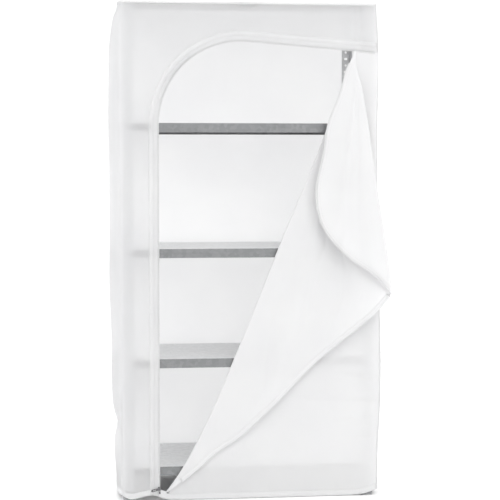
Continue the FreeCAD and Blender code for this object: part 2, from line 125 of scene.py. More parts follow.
# (height, how far the left side bellies out)
LEFT_BELLY = ((0.0, 0.010), (0.10, 0.016), (0.165, 0.020), (0.235, 0.002), (0.30, 0.022), (0.40, 0.028),
              (0.53, 0.028), (0.75, 0.034), (1.20, 0.036), (1.50, 0.036), (1.68, 0.026), (1.75, 0.012),
              (1.776, 0.000))
BELLY_LIMIT = 0.0365
# (height, how far the front's left or right edge hangs out to the side)
LEFT_SPREAD = ((0.0, 0.000), (0.30, 0.001), (0.90, 0.001), (1.20, 0.006), (1.60, 0.007), (1.776, 0.003))
RIGHT_SPREAD = ((0.0, 0.014), (0.12, 0.015), (0.20, 0.017), (0.30, 0.022), (0.60, 0.022), (0.80, 0.016),
                (1.10, 0.010), (1.30, 0.008), (1.70, 0.007), (1.776, 0.001))
# soft creases low on the part of the door that stays flat: height, slope, left end, depth
LOW_CREASES = ((0.355, -0.05, 0.62, 0.0018), (0.265, 0.10, 0.70, 0.0014), (0.215, -0.03, 0.72, 0.0016),
               (0.455, -0.22, 0.74, 0.0014))
PINCH_AT = 0.457              # the pinch under the roof seam, along the front
PINCH_HALF = 0.055


# ---- small tools ----------------------------------------------------------------------------------
def through(points):
    """A smooth function of x through (x, y) points."""
    xs, ys = np.array(points, float).T
    slopes = np.gradient(ys, xs)

    def at(x):
        x = np.clip(x, xs[0], xs[-1])
        i = np.clip(np.searchsorted(xs, x) - 1, 0, len(xs) - 2)
        span = xs[i + 1] - xs[i]
        t = (x - xs[i]) / span
        ends = ys[i] * (1 + 2 * t) * (1 - t) ** 2 + ys[i + 1] * t * t * (3 - 2 * t)
        return ends + span * (slopes[i] * t * (1 - t) ** 2 + slopes[i + 1] * t * t * (t - 1))
    return at


def step(x, low, high):
    """0 below low, 1 above high, smooth between."""
    t = np.clip((np.asarray(x, float) - low) / (high - low), 0, 1)
    return t * t * (3 - 2 * t)


def bump(x, centre, width):
    """A smooth bump of height 1."""
    return np.exp(-((np.asarray(x, float) - centre) / width) ** 2)


def waves(u, v, seed, count=7, finest=0.11, coarsest=0.7, lean=0.35):
    """Soft uneven undulation of about unit height whose folds run mostly along v."""
    rng = np.random.default_rng(seed)
    total = 0
    for _ in range(count):
        length = math.exp(rng.uniform(math.log(finest), math.log(coarsest)))
        tilt = rng.normal(0, lean)
        phase = rng.uniform(0, 2 * math.pi)
        turn = 2 * math.pi / length
        total = total + length * np.sin(turn * (u * math.cos(tilt) + v * math.sin(tilt)) + phase)
    return total / (coarsest * math.sqrt(count) / 2)


main_bow = through(MAIN_BOW)
corner_bow = through(CORNER_BOW)
edge_bow = through(EDGE_BOW)
corner_width = through(CORNER_WIDTH)
hem_wave = through(HEM_WAVE)
left_belly = through(LEFT_BELLY)
left_spread = through(LEFT_SPREAD)
right_spread = through(RIGHT_SPREAD)


# ---- the surface of the cover ---------------------------------------------------------------------
# Each side is a strip of wall from its first corner to its second, seen from outside from left to right.
SIDES = {"front": ((LEFT, FRONT), (RIGHT, FRONT)), "right": ((RIGHT, FRONT), (RIGHT, BACK)),
         "back": ((RIGHT, BACK), (LEFT, BACK)), "left": ((LEFT, BACK), (LEFT, FRONT))}
OUTWARD = {"front": (0, -1, 0), "right": (1, 0, 0), "back": (0, 1, 0), "left": (-1, 0, 0)}


def width_of(side):
    (ax, ay), (bx, by) = SIDES[side]
    return abs(bx - ax) + abs(by - ay)


def hem_lift(side, share):
    """How far the hem hangs above its lowest height, at a share of a side's width."""
    share = np.asarray(share, float)
    if side == "front":
        return np.maximum(hem_wave(share), 0)
    if side == "right":
        return 0.021 * (1 - step(share, 0.0, 0.45)) + 0.002 * np.sin(9 * share) ** 2
    if side == "left":
        return 0.017 * step(share, 0.6, 1.0) + 0.003 * np.sin(8 * share) ** 2
    return 0.003 * np.sin(11 * share) ** 2


def relief(side, s, z):
    """How far the cloth stands out from the flat side, away from its seams."""
    share = s / width_of(side)
    middle = np.sin(math.pi * np.clip(share, 0, 1)) ** 0.7
    if side == "left":
        return np.minimum(left_belly(z) + 0.0022 * waves(s, z, 5), BELLY_LIMIT) * middle
    if side == "right":
        return 0.007 * middle * np.sin(math.pi * z / TOP) + 0.0022 * waves(s, z, 6) * middle
    if side == "back":
        return 0.007 * middle * np.sin(math.pi * z / TOP) + 0.0030 * waves(s, z, 7) * middle
    return front_relief(s, z)


def arch_curl(s, z):
    """The edge of the opening curls in on the shoulder of the arch."""
    x = s + LEFT
    in_from_edge = ARCH_RADIUS - np.hypot(x - ARCH_CENTRE, z - ARCH_SPRING)
    turn = np.arctan2(ARCH_CENTRE - x, z - ARCH_SPRING)
    return -0.009 * bump(in_from_edge, 0.001, 0.007) * step(turn, 0.55, 0.85) * (1 - step(turn, 1.15, 1.4))


def roof_pinch(s, z):
    """A V-shaped fold that hangs from the roof seam."""
    aside = np.abs(s - PINCH_AT) / PINCH_HALF
    return -0.005 * bump(TOP - z - 0.016 * (1 - aside), 0.0, 0.004) * (1 - step(aside, 0.6, 1.0))


def low_creases(s, z):
    total = 0
    for height, slope, left, depth in LOW_CREASES:
        along = z - height - slope * (s - left)
        begun = step(s, left, left + 0.10)
        total = total - depth * bump(along, 0, 0.012) * begun
        total = total + 0.6 * depth * bump(along, 0.016, 0.012) * begun
    return total


def apex_pucker(s, z):
    """The front is drawn into a wedge where both folds of the door meet."""
    apex = APEX.x - LEFT
    wedge = z - APEX.z - 0.10 * (s - apex)
    return -0.0045 * bump(wedge, -0.004, 0.007) * step(s, apex - 0.01, apex + 0.05)


def front_relief(s, z):
    """Relief of the front, kept flat along the slider's way."""
    off_zip = step(np.abs(s + LEFT - OPENING_EDGE), 0.012, 0.040)
    off_zip = np.maximum(off_zip, step(z, ARCH_SPRING, ARCH_SPRING + 0.03))
    soft = (0.0016 * waves(s, z, 3) - 0.0008) * off_zip
    upper_right = 0.0028 * (bump(s, 0.835, 0.010) - bump(s, 0.858, 0.010)) * step(z, 1.58, 1.66)
    folds = upper_right + low_creases(s, z) + apex_pucker(s, z) + arch_curl(s, z) + roof_pinch(s, z)
    return np.minimum(soft + folds, PROUD_LIMIT)


def on_cover(side, s, z, out=0.0):
    """The point of a side's cloth at s from its first corner and at height z, moved outwards by out."""
    s, z = np.broadcast_arrays(np.asarray(s, float), np.asarray(z, float))
    (ax, ay), (bx, by) = SIDES[side]
    length = width_of(side)
    along = np.array((bx - ax, by - ay)) / length
    outward = np.array((along[1], -along[0]))
    first = np.array((ax, ay)) + (along - outward) * SEAM_IN
    share = s / length
    puff = 1 - np.exp(-np.maximum(s, 0) / SEAM_SOFT)
    puff = puff * (1 - np.exp(-np.maximum(length - s, 0) / SEAM_SOFT))
    head = 1 - np.exp(-np.maximum(TOP - z, 0) / 0.006)
    away = SEAM_IN * puff * (0.5 + 0.5 * head) + relief(side, s, z) * puff * head + out
    across = share * (length - 2 * SEAM_IN)
    if side == "front":
        across = across + right_spread(z) * step(share, 0.8, 1.0)
        across = across - left_spread(z) * (1 - step(share, 0.0, 0.12))
    if side == "right":
        away = away + right_spread(z) * (1 - step(share, 0.0, 0.6))
    if side == "left":
        away = away + left_spread(z) * step(share, 0.6, 1.0)
    lift = hem_lift(side, share) * np.clip(1 - (z - HEM) / 0.45, 0, 1) ** 2
    x = first[0] + along[0] * across + outward[0] * away
    y = first[1] + along[1] * across + outward[1] * away
    return np.stack([x, y, z + lift], axis=-1)


def on_front(x, z, out=0.0):
    """The point of the front's cloth at x and z."""
    return on_cover("front", np.asarray(x, float) - LEFT, z, out)


# ---- the folded door's surface --------------------------------------------------------------------
FORWARD = Vector((0, -1, 0))


def main_fold_x(z):
    """Where the rounded main fold's crest is at a height."""
    return MAIN_FOOT.x + (z - MAIN_FOOT.z) * MAIN_ALONG.x / MAIN_ALONG.z + main_bow(z)


def corner_fold_x(z):
    return APEX.x + (z - APEX.z) * CORNER_DOWN.x / CORNER_DOWN.z + corner_bow(z)


def lower_edge_x(z):
    """The door's zip side, folded over to the lower right."""
    return MAIN_FOOT.x + (z - MAIN_FOOT.z) * (TIP.x - MAIN_FOOT.x) / (TIP.z - MAIN_FOOT.z) + edge_bow(z)


def leaf_depth(x, z):
    """How far the folded door stands in front of the front's plane."""
    from_fold = np.maximum(x - main_fold_x(z), 0) * MAIN_ALONG.z
    flat = (FRONT - MAIN_FOOT.y) + 2 * MAIN_ROUND + from_fold * math.tan(MAIN_TILT)
    fan = np.arctan2(x - APEX.x, APEX.z + 0.02 - z)
    reach = np.hypot(x - APEX.x, z - APEX.z)
    ridges = 0.007 * bump(fan, -0.235, 0.045) - 0.012 * bump(fan, -0.13, 0.07)
    ridges = ridges - 0.008 * bump(fan, -0.34, 0.05) + 0.006 * bump(fan, 0.02, 0.05)
    ridges = ridges - 0.006 * bump(fan, -0.42, 0.03)
    ridges = ridges * step(reach, 0.15, 0.7) * step(from_fold, 0.0, 0.10)
    soft = 0.004 * (waves(x, z, 11, lean=1.2, coarsest=0.5) - 0.8) * step(from_fold, 0.0, 0.12)
    drape = ridges + soft - 0.010 * step(from_fold, 0.02, 0.22)
    return flat + np.clip(drape, -0.6 * from_fold * math.tan(MAIN_TILT), LEAF_LIMIT)


def on_leaf(x, z, out=0.0):
    x, z = np.broadcast_arrays(np.asarray(x, float), np.asarray(z, float))
    return np.stack([x, FRONT - leaf_depth(x, z) - out, z], axis=-1)


def corner_depth(x, z):
    """How far the folded-over corner stands in front of the front's plane."""
    fold = corner_fold_x(z)
    width = np.maximum(fold - x, 0)
    from_fold = np.maximum(x - main_fold_x(z), 0) * MAIN_ALONG.z
    plane = (FRONT - MAIN_FOOT.y) + 2 * MAIN_ROUND + from_fold * math.tan(MAIN_TILT)
    share = width / np.maximum(corner_width(z), 0.01)
    reach = step(APEX.z - z, 0.0, 0.30)
    share = np.clip(share, 0, 1)
    crown = 0.017 * np.sin(0.5 * math.pi * share) * reach * step(z, TIP.z, TIP.z + 0.16)
    fan = np.arctan2(x - APEX.x, APEX.z + 0.02 - z)
    pleats = 0.006 * bump(fan, -0.10, 0.035) - 0.004 * bump(fan, -0.02, 0.03) + 0.004 * bump(fan, 0.06, 0.03)
    soft = 0.0035 * waves(x, z, 17, lean=0.8, coarsest=0.5) * reach * np.sin(math.pi * share)
    rise = 2 * corner_round(z) - 0.004 * reach + width * math.tan(CORNER_TILT)
    return plane + rise + crown + pleats * reach * step(share, 0.0, 0.3) + soft


def corner_round(z):
    """Radius of the rounded corner fold: it closes up towards both of its ends."""
    return CORNER_ROUND * (0.6 + 0.4 * step(APEX.z - z, 0.0, 0.15) * step(z, TIP.z, TIP.z + 0.03))


def on_corner(x, z, out=0.0):
    x, z = np.broadcast_arrays(np.asarray(x, float), np.asarray(z, float))
    return np.stack([x, FRONT - corner_depth(x, z) - out, z], axis=-1)


# ---- paths along edges ----------------------------------------------------------------------------
def spaced(path, pitch):
    """Evenly spaced points along a polyline, about pitch apart."""
    path = np.asarray(path, float)
    along = np.concatenate([[0], np.cumsum(np.linalg.norm(np.diff(path, axis=0), axis=1))])
    count = max(2, int(round(along[-1] / pitch)) + 1)
    at = np.linspace(0, along[-1], count)
    return np.stack([np.interp(at, along, path[:, k]) for k in range(path.shape[1])], axis=1)


def opening_path(inset, low, right, pitch=0.008):
    """The opening's outline as (x, z): up the zip side from low, round the arch, along the top to right."""
    radius = ARCH_RADIUS - inset
    centre = np.array((ARCH_CENTRE, ARCH_SPRING))
    side = np.stack([np.full(2, centre[0] - radius), (low, ARCH_SPRING)], axis=1)
    turn = np.linspace(-math.pi / 2, TOP_SLOPE, 60)
    arch = centre + radius * np.stack([np.sin(turn), np.cos(turn)], axis=1)
    crown = arch[-1]
    end = np.array((right, crown[1] - (right - crown[0]) * math.tan(TOP_SLOPE)))
    return spaced(side, pitch), spaced(arch, pitch), spaced(np.stack([crown, end]), pitch)


def whole_opening_path(inset, low, right, pitch=0.008):
    side, arch, top = opening_path(inset, low, right, pitch)
    return np.concatenate([side, arch[1:], top[1:]])


def top_edge_z(x, inset=0.0):
    crown = np.array((ARCH_CENTRE, ARCH_SPRING))
    crown = crown + (ARCH_RADIUS - inset) * np.array((math.sin(TOP_SLOPE), math.cos(TOP_SLOPE)))
    return crown[1] - (x - crown[0]) * math.tan(TOP_SLOPE)


# ---- meshes ---------------------------------------------------------------------------------------
def new_object(name, verts, faces, material):
    mesh = bpy.data.meshes.new(name)
    mesh.from_pydata([tuple(v) for v in verts], [], [tuple(f) for f in faces])
    mesh.validate()
    mesh.polygons.foreach_set("use_smooth", [True] * len(mesh.polygons))
    mesh.materials.append(material)
    piece = bpy.data.objects.new(name, mesh)
    bpy.context.scene.collection.objects.link(piece)
    return piece


def grid_faces(rows, columns, closed=False, first=0):
    index = np.arange(rows * columns).reshape(rows, columns) + first
    if closed:
        index = np.concatenate([index, index[:1]])
    corners = [index[:-1, :-1], index[:-1, 1:], index[1:, 1:], index[1:, :-1]]
    return np.stack(corners, axis=-1).reshape(-1, 4)


def applied(piece, modifier, **settings):
    """The piece with one modifier made part of its mesh."""
    mod = piece.modifiers.new(modifier.lower(), modifier)
    for key, value in settings.items():
        setattr(mod, key, value)
    depsgraph = bpy.context.evaluated_depsgraph_get()
    mesh = bpy.data.meshes.new_from_object(piece.evaluated_get(depsgraph))
    piece.modifiers.clear()
    old = piece.data
    piece.data = mesh
    bpy.data.meshes.remove(old)
    mesh.name = piece.name
    return piece


def cloth_from_grids(name, grids, material, thickness=CLOTH, closed=False):
    """A thin closed sheet through one or more grids of points that share their edges."""
    verts, faces, first = [], [], 0
    for grid in grids:
        rows, columns = grid.shape[:2]
        verts.append(grid.reshape(-1, 3))
        faces.append(grid_faces(rows, columns, closed, first))
        first += rows * columns
    piece = new_object(name, np.concatenate(verts), np.concatenate(faces), material)
    piece = applied(piece, "WELD", merge_threshold=0.00005)
    return applied(piece, "SOLIDIFY", thickness=thickness, offset=0.0, use_even_offset=False)


def repeated(name, unit, path, normals, pitch, material, start=0):
    """Copies of a small unit (verts, faces) along a path, with x along it and z along the normals."""
    verts, faces = unit
    path = np.asarray(path, float)
    along = np.concatenate([[0], np.cumsum(np.linalg.norm(np.diff(path, axis=0), axis=1))])
    at = np.arange(pitch * (start + 0.5), along[-1], pitch)

    def along_path(values, shift=0.0):
        return np.stack([np.interp(at + shift, along, values[:, k]) for k in range(3)], axis=1)

    forward = along_path(path, pitch / 2) - along_path(path, -pitch / 2)
    forward /= np.maximum(np.linalg.norm(forward, axis=1, keepdims=True), 1e-9)
    normals = np.broadcast_to(np.asarray(normals, float), path.shape)
    up = along_path(normals)
    up = up - (up * forward).sum(1, keepdims=True) * forward
    up /= np.maximum(np.linalg.norm(up, axis=1, keepdims=True), 1e-9)
    side = np.cross(up, forward)
    placed = along_path(path)[:, None]
    for axis, direction in enumerate((forward, side, up)):
        placed = placed + verts[None, :, axis:axis + 1] * direction[:, None]
    all_faces = []
    for n in range(len(at)):
        all_faces.extend([tuple(i + n * len(verts) for i in face) for face in faces])
    return new_object(name, placed.reshape(-1, 3), all_faces, material)


def bar_through(rings):
    """A closed bar (verts, faces) through rings of as many points each, anticlockwise from its far end."""
    sides = len(rings[0])
    faces = [tuple(reversed(range(sides)))]
    for first in range(0, sides * (len(rings) - 1), sides):
        for k in range(sides):
            a = first + k
            b = first + (k + 1) % sides
            faces.append((a, b, b + sides, a + sides))
    faces.append(tuple(range(sides * (len(rings) - 1), sides * len(rings))))
    return np.concatenate(rings), faces


def stitch(length, radius, sides=6):
    """A short thread along x with blunt ends."""
    angle = 2 * math.pi * np.arange(sides) / sides
    rings = []
    for share, scale in ((-0.5, 0.45), (-0.34, 1.0), (0.34, 1.0), (0.5, 0.45)):
        x = np.full(sides, share * length)
        rings.append(np.stack([x, scale * radius * np.cos(angle), scale * radius * np.sin(angle)], axis=1))
    return bar_through(rings)


def tooth(reach, sides=8):
    """A zip tooth: a rounded bar across the tape, reach long, thicker at its hooked end."""
    angle = -2 * math.pi * np.arange(sides) / sides
    rings = []
    for share, scale in ((-0.5, 0.6), (-0.3, 0.8), (0.15, 0.8), (0.3, 1.15), (0.45, 1.0), (0.5, 0.6)):
        y = np.full(sides, share * reach)
        width = TOOTH_HALF_WIDTH * scale
        height = TOOTH_HALF_HEIGHT * scale
        rings.append(np.stack([width * np.cos(angle), y, height * np.sin(angle)], axis=1))
    return bar_through(rings)


def stitches(name, path, body, normals, material):
    """A row of stitches along a path of points."""
    piece = repeated(name, stitch(STITCH_LENGTH, STITCH_RADIUS), path, normals, STITCH_PITCH, material)
    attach(piece, body)
    return piece


def finish_piece(piece, body, replaces=()):
    if replaces:
        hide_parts(*replaces)
    if body:
        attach(piece, body)
    return piece


# ---- materials ------------------------------------------------------------------------------------
class Nodes:
    """A material under construction: adds nodes and joins them."""

    def __init__(self, name):
        self.material = bpy.data.materials.new(name)
        self.material.use_nodes = True
        self.tree = self.material.node_tree
        self.shader = self.tree.nodes["Principled BSDF"]
        self.where = self.tree.nodes.new("ShaderNodeTexCoord").outputs["Object"]

    def node(self, kind, inputs=(), **settings):
        made = self.tree.nodes.new(kind)
        for key, value in settings.items():
            setattr(made, key, value)
        for key, value in dict(inputs).items():
            if isinstance(value, bpy.types.NodeSocket):
                self.tree.links.new(value, made.inputs[key])
            else:
                made.inputs[key].default_value = value
        return made

    def noise(self, scale, detail=3.0, roughness=0.5, where=None):
        inputs = {"Vector": where or self.where, "Scale": scale, "Detail": detail, "Roughness": roughness}
        return self.node("ShaderNodeTexNoise", inputs).outputs["Fac"]

    def stretched(self, scale):
        return self.node("ShaderNodeMapping", {"Vector": self.where, "Scale": scale}).outputs["Vector"]

    def ramp(self, value, low, high, from_low=0.3, from_high=0.7):
        """A grey or colour that goes from low to high as the value does."""
        made = self.node("ShaderNodeValToRGB", {"Fac": value})
        for element, at, colour in zip(made.color_ramp.elements, (from_low, from_high), (low, high)):
            element.position = at
            element.color = (*colour, 1) if hasattr(colour, "__len__") else (colour, colour, colour, 1)
        return made.outputs["Color"]

    def maths(self, operation, first, second=0.5):
        return self.node("ShaderNodeMath", {0: first, 1: second}, operation=operation).outputs["Value"]

    def bumps(self, height, distance, strength=1.0, normal=None):
        inputs = {"Height": height, "Distance": distance, "Strength": strength}
        if normal is not None:
            inputs["Normal"] = normal
        return self.node("ShaderNodeBump", inputs).outputs["Normal"]

    def set(self, **sockets):
        for key, value in sockets.items():
            socket = self.shader.inputs[key.replace("_", " ")]
            if isinstance(value, bpy.types.NodeSocket):
                self.tree.links.new(value, socket)
            else:
                socket.default_value = value
        return self.material

    def mixed_with(self, other, share):
        """The material with a share of another shader in it."""
        own = self.shader.outputs[0]
        both = self.node("ShaderNodeMixShader", {"Fac": share, 1: own, 2: other.outputs[0]})
        self.tree.links.new(both.outputs[0], self.tree.nodes["Material Output"].inputs["Surface"])
        return self.material


def weave_height(m, pitch):
    """Height of a plain weave: threads over and under each other along X+Y and Z."""
    turn = 2 * math.pi / pitch
    parts = m.node("ShaderNodeSeparateXYZ", {0: m.where}).outputs
    across = m.maths("ADD", parts["X"], parts["Y"])
    waves_made = [m.maths("SINE", m.maths("MULTIPLY", value, turn)) for value in (across, parts["Z"])]
    return m.maths("MULTIPLY", waves_made[0], waves_made[1])


def woven(name, light, dark, pitch, alpha, through_light):
    """Thin woven cloth: weave, slubs, soft mottling and slight creasing, partly lit from behind."""
    m = Nodes(name)
    mottle = m.noise(5.0, detail=4.0)
    slub = m.noise(1.0, detail=2.0, where=m.stretched((900.0, 900.0, 60.0)))
    blend = m.maths("ADD", m.maths("MULTIPLY", mottle, 0.75), m.maths("MULTIPLY", slub, 0.25))
    colour = m.ramp(blend, dark, light)
    threads = m.bumps(weave_height(m, pitch), 0.00012, 0.5)
    creased = m.bumps(m.noise(38.0, detail=5.0, roughness=0.6), 0.0012, 0.35, threads)
    rough = m.ramp(slub, 0.82, 0.95)
    m.set(Base_Color=colour, Roughness=rough, Normal=creased, Alpha=alpha)
    m.shader.inputs["Sheen Weight"].default_value = 0.15
    m.shader.inputs["Sheen Roughness"].default_value = 0.5
    m.shader.inputs["Specular IOR Level"].default_value = 0.15
    glow = m.node("ShaderNodeBsdfTranslucent", {"Color": colour, "Normal": creased})
    return m.mixed_with(glow, through_light)


def galvanised(name, upright_dark, upright_light, upright_metal):
    """Dull zinc-coated sheet: spangle, rolling streaks and slight handling marks. Surfaces facing up get a paler,
    less metallic colour: painted light from above.
    """
    m = Nodes(name)
    spangle = m.node("ShaderNodeTexVoronoi", {"Vector": m.where, "Scale": 85.0}).outputs["Color"]
    spangle = m.node("ShaderNodeSeparateColor", {0: spangle}).outputs[0]
    streak = m.noise(1.0, detail=4.0, where=m.stretched((6.0, 160.0, 160.0)))
    marks = m.noise(14.0, detail=6.0, roughness=0.65)
    mixed = m.maths("ADD", m.maths("MULTIPLY", spangle, 0.35), m.maths("MULTIPLY", streak, 0.3))
    mixed = m.maths("ADD", mixed, m.maths("MULTIPLY", marks, 0.35))
    upright = m.ramp(mixed, upright_dark, upright_light)
    # painted light: the paler colour that surfaces facing up take, standing for light from above
    lit_top_colour = m.ramp(mixed, (0.74, 0.745, 0.75), (0.84, 0.845, 0.85))
    normal = m.node("ShaderNodeNewGeometry").outputs["Normal"]
    facing = m.node("ShaderNodeSeparateXYZ", {0: normal}).outputs["Z"]
    top_light_mask = m.node("ShaderNodeMapRange", {0: facing, 1: 0.6, 2: 0.95}).outputs["Result"]
    colour = m.node("ShaderNodeMix", {0: top_light_mask, 6: upright, 7: lit_top_colour}, data_type="RGBA").outputs[2]
    dull = m.node("ShaderNodeMapRange", {0: top_light_mask, 3: upright_metal, 4: 0.35}).outputs["Result"]
    rough = m.ramp(marks, 0.34, 0.50)
    return m.set(Base_Color=colour, Roughness=rough, Metallic=dull, Normal=m.bumps(mixed, 0.0003, 0.2))


def zinc():
    m = Nodes("zinc_fastener")
    grain = m.noise(420.0, detail=4.0)
    stain = m.noise(60.0, detail=3.0)
    colour = m.ramp(stain, (0.46, 0.46, 0.45), (0.66, 0.67, 0.68))
    rough = m.ramp(grain, 0.28, 0.46)
    return m.set(Base_Color=colour, Roughness=rough, Metallic=0.9, Normal=m.bumps(grain, 0.0001, 0.3))


def foot_plastic():
    m = Nodes("foot_plastic")
    grain = m.noise(900.0, detail=2.0)
    dust = m.noise(30.0, detail=4.0)
    colour = m.ramp(dust, (0.24, 0.245, 0.25), (0.34, 0.345, 0.35))
    return m.set(Base_Color=colour, Roughness=m.ramp(grain, 0.5, 0.7), Normal=m.bumps(grain, 0.0001, 0.4))


def nickel():
    """Dark nickel plating with worn, brighter patches."""
    m = Nodes("zip_metal")
    wear = m.noise(160.0, detail=5.0, roughness=0.7)
    colour = m.ramp(wear, (0.10, 0.10, 0.105), (0.34, 0.34, 0.35), 0.42, 0.68)
    rough = m.ramp(wear, 0.22, 0.42)
    return m.set(Base_Color=colour, Roughness=rough, Metallic=0.95, Normal=m.bumps(wear, 0.0001, 0.3))


def moulded_white(name):
    m = Nodes(name)
    grain = m.noise(700.0, detail=2.0)
    colour = m.ramp(m.noise(40.0), (0.70, 0.70, 0.70), (0.78, 0.78, 0.78))
    return m.set(Base_Color=colour, Roughness=m.ramp(grain, 0.3, 0.45), Normal=m.bumps(grain, 0.00005, 0.3))


# woven: name, light and dark colour, thread pitch, opacity, share of light let through
CLOTH_WHITE = woven("cover_cloth", (0.955, 0.955, 0.955), (0.925, 0.925, 0.93), 0.0009, 0.94, 0.68)
# the door is the cover's own cloth; its darker colour here is painted shade that tones down the folded, doubled
# door
DOOR_WHITE_PAINTED_SHADE = woven("door_cloth_painted_shade", (0.912, 0.912, 0.912), (0.887, 0.887, 0.892), 0.0009, 0.995, 0.46)
TURNED_WHITE = woven("turned_cloth", (0.93, 0.93, 0.93), (0.90, 0.90, 0.905), 0.0009, 0.78, 0.53)
TAPE_WHITE = woven("zip_tape", (0.93, 0.93, 0.93), (0.90, 0.90, 0.905), 0.0007, 1.0, 0.49)
THREAD = moulded_white("thread")
TEETH = moulded_white("zip_teeth")
# posts and shelves are the same galvanised steel: the posts' pale colour is painted light, the shelves' dark side
# colour is painted shade on their lips
POST_STEEL_PAINTED_LIGHT = galvanised("galvanised_post", (0.60, 0.605, 0.61), (0.74, 0.745, 0.75), 0.55)
SHELF_STEEL_PAINTED_SHADE = galvanised("galvanised_steel", (0.235, 0.24, 0.245), (0.285, 0.29, 0.295), 0.95)
METALS = {"galvanised_steel": SHELF_STEEL_PAINTED_SHADE, "zinc_fastener": zinc(), "foot_plastic": foot_plastic(),
          "zip_metal": nickel()}


def dress_cad():
    """Gives every CAD node that stays in view its material."""
    slots = {part["node"]: part["material_slot"] for part in frame["record"]["subparts"]}
    for name, node in frame["nodes"].items():
        material = METALS.get(slots[name], CLOTH_WHITE)
        # the posts take the paler copy of the steel: painted light
        if name.startswith("post_"):
            material = POST_STEEL_PAINTED_LIGHT
        node.data.materials.clear()
        node.data.materials.append(material)


# ---- the cover's panels ---------------------------------------------------------------------------
def panel_grid(side, step_m=0.011):
    length = width_of(side)
    s = np.linspace(0, length, int(length / step_m) + 1)
    z = np.linspace(HEM, TOP - 0.0015, 150)
    return on_cover(side, s[None, :], z[:, None])


def make_walls():
    for side, node in (("right", "cover_right_side"), ("back", "cover_back")):
        piece = cloth_from_grids(f"cloth_{side}", [panel_grid(side)], CLOTH_WHITE)
        finish_piece(piece, "cloth_cover", [node])


def make_roof():
    x = np.linspace(LEFT + SEAM_IN / 2, RIGHT - SEAM_IN / 2, 90)
    y = np.linspace(FRONT + SEAM_IN / 2, BACK - SEAM_IN / 2, 50)
    xx, yy = np.meshgrid(x, y)
    edge = np.minimum(np.minimum(xx - LEFT, RIGHT - xx), np.minimum(yy - FRONT, BACK - yy))
    lift = 0.0016 * np.maximum(waves(xx, yy, 21, lean=1.5, coarsest=0.4), -0.1) * step(edge, 0.0, 0.03)
    notch = 0.004 * bump(xx, LEFT + 0.44, 0.02) * bump(yy, FRONT + 0.03, 0.03)
    zz = TOP - 0.0010 - 0.0012 * (1 - step(edge, 0, 0.010)) + lift + notch
    piece = cloth_from_grids("cloth_roof", [np.stack([xx, yy, zz], axis=-1)], CLOTH_WHITE)
    finish_piece(piece, "cloth_cover", ["cover_roof"])


def front_leg_grids():
    """The left side and, round the corner, the front's left leg and top band as far as the opening."""
    side, arch, top = opening_path(0.0, HEM, RIGHT)
    corner = np.array((LEFT, TOP - 0.0015))
    up, over = corner[1] - ARCH_SPRING, arch[-1][0] - LEFT
    turn = int(round(len(arch) * up / (up + over)))
    left_over = len(arch) - turn
    rise = np.stack([np.full(turn + 1, LEFT), np.linspace(ARCH_SPRING, corner[1], turn + 1)], axis=1)
    run = np.stack([np.linspace(LEFT, arch[-1][0], left_over), np.full(left_over, corner[1])], axis=1)
    outer = [np.stack([np.full(len(side), LEFT), side[:, 1]], axis=1),
             np.concatenate([rise, run[1:]]),
             np.stack([top[:, 0], np.full(len(top), corner[1])], axis=1)]
    share = np.linspace(0, 1, 36)[None, :, None]
    corner_z = np.concatenate([side[:, 1], rise[1:, 1]])
    along_left = np.linspace(0, width_of("left"), 44)
    grids = [on_cover("left", along_left[None, :], corner_z[:, None])]
    for inner, edge in zip((side, arch, top), outer):
        flat = edge[:, None] * (1 - share) + inner[:, None] * share
        grids.append(on_front(flat[..., 0], flat[..., 1]))
    return grids


def make_front():
    piece = cloth_from_grids("cloth_front", front_leg_grids(), CLOTH_WHITE)
    finish_piece(piece, "cloth_cover", ["cover_front", "cover_left_side"])
    placket = make_placket()


def along_opening(insets, out, low=HEM + 0.001, right=RIGHT - 0.004):
    """A strip that follows the opening between insets, lying out from the cloth by the given amounts."""
    columns = []
    base = whole_opening_path(0.0, low, right)
    for inset, away in zip(insets, out):
        path = whole_opening_path(inset, low, right)
        path = spaced(path, 0.008)
        count = len(base)
        at = np.linspace(0, len(path) - 1, count)
        path = np.stack([np.interp(at, np.arange(len(path)), path[:, k]) for k in range(2)], axis=1)
        columns.append(on_front(path[:, 0], path[:, 1], away))
    return np.stack(columns, axis=1)


def make_placket():
    """The turned edge round the opening, with three rows of stitches."""
    insets = (-PLACKET, -PLACKET + 0.0015, -0.019, -0.018, -0.017, -0.0015, 0.0)
    out = (0.0004, 0.0013, 0.0015, 0.0008, 0.0015, 0.0014, 0.0002)
    placket = cloth_from_grids("cloth_placket", [along_opening(insets, out)], TURNED_WHITE, THIN)
    finish_piece(placket, "cloth_cover")
    for number, inset in enumerate((-PLACKET + 0.0025, -0.018, -0.0030), start=1):
        path = whole_opening_path(inset, HEM + 0.024, RIGHT - 0.008)
        row = on_front(path[:, 0], path[:, 1], 0.0017)
        stitches(f"stitch_placket_{number}", row, "cloth_cover", FORWARD, THREAD)
    return placket


# ---- the bindings round the top and the hem ---------------------------------------------------------
def round_cover(z, out, step_m=0.012):
    """A closed ring of points round the cover at height z, out from the cloth."""
    ring = []
    for side in ("front", "right", "back", "left"):
        length = width_of(side)
        s = np.linspace(0, length, int(length / step_m) + 1)[:-1]
        ring.append(on_cover(side, s, np.full(len(s), z), out))
    return np.concatenate(ring)


def ring_piece(name, heights, outs, material, thickness):
    grid = np.stack([round_cover(z, out) for z, out in zip(heights, outs)], axis=1)
    return cloth_from_grids(name, [grid], material, thickness, closed=True)


